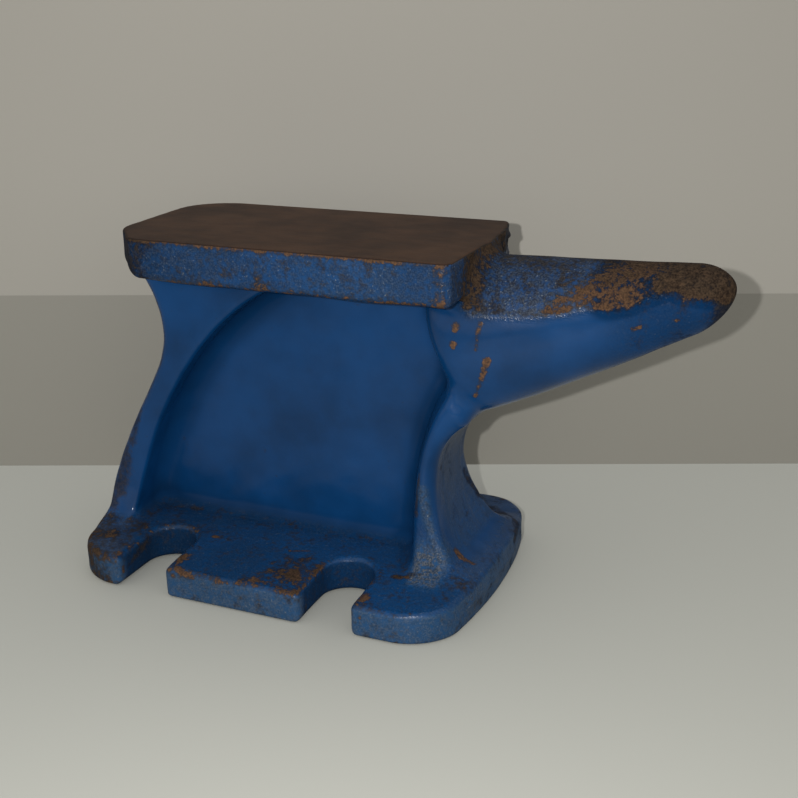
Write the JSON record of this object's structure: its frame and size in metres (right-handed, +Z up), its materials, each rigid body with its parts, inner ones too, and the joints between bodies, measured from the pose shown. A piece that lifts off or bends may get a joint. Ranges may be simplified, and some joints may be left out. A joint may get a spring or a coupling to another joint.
{
  "type": "bench anvil",
  "caption": "Small cast-iron bench anvil with a flat working face, a tapered horn, a webbed waist and a foot with open bolt slots.",
  "frame": {"origin": "middle of the foot's underside, on the bench", "axes": "+X along the horn, +Z up from the bench, +Y towards the back"},
  "size_m": [0.2094, 0.0974, 0.116],
  "materials": {
    "blue_paint": "worn semi-gloss enamel on sand-cast iron",
    "bare_iron": "ground, dull brown with age"
  },
  "bodies": {
    "root": {"foot": "blue_paint", "web": "blue_paint", "heel_flange": "blue_paint", "throat_flange": "blue_paint", "horn_root": "blue_paint", "horn": "blue_paint", "face_block": "blue_paint", "working_face": "bare_iron"}
  },
  "joints": []
}
